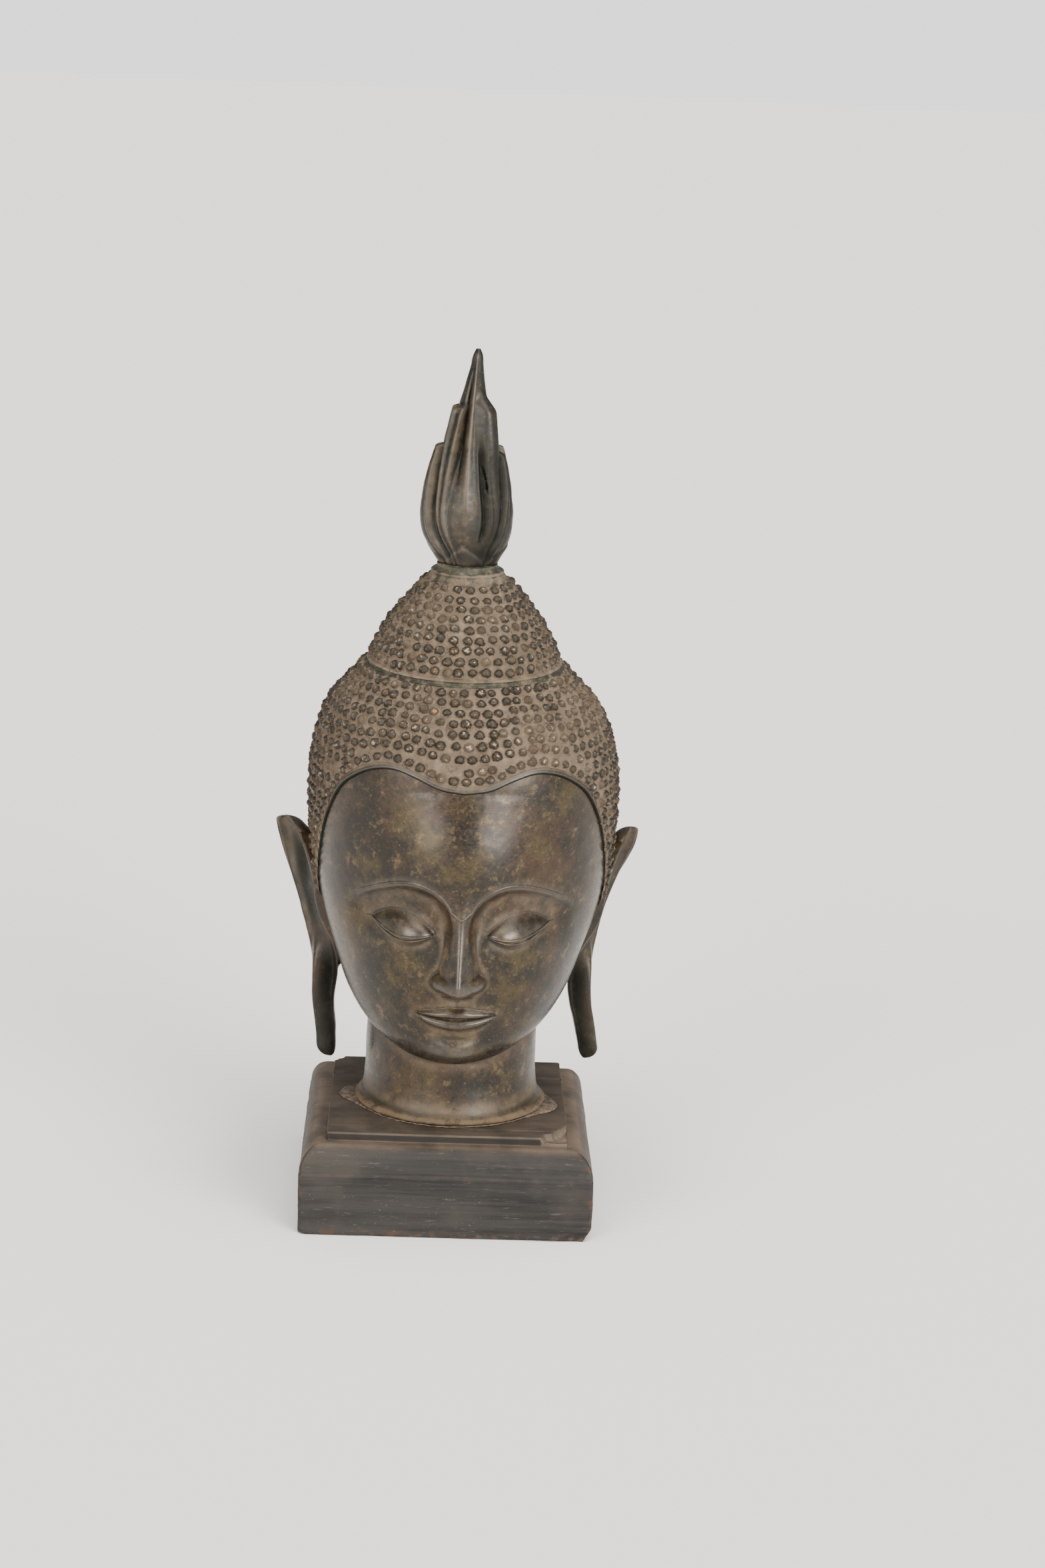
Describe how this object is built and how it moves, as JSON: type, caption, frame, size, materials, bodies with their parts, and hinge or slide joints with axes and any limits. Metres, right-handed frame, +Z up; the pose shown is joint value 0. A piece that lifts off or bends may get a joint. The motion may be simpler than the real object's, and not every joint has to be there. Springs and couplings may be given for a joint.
{
  "type": "brass buddha head",
  "caption": "Cast brass Buddha head with hair curls, long ear lobes and a separate flame finial, standing on a moulded square wood plinth.",
  "frame": {"origin": "centre of the plinth's underside", "axes": "+Z up; the face looks along -Y; +X is towards the viewer's right when the viewer faces the head"},
  "size_m": [0.1945, 0.177, 0.4516],
  "materials": {
    "head_metal": "dark brown-green patina with dusty hollows and rubbed, shinier high places",
    "finial_metal": "dark brown-green patina, rubbed bright along the ridges",
    "plinth_wood": "dark stain, worn to bare brown wood along the lower edges and corners"
  },
  "bodies": {
    "root": {"bronze_head": "head_metal", "flame_finial": "finial_metal", "wood_plinth": "plinth_wood"}
  },
  "joints": []
}
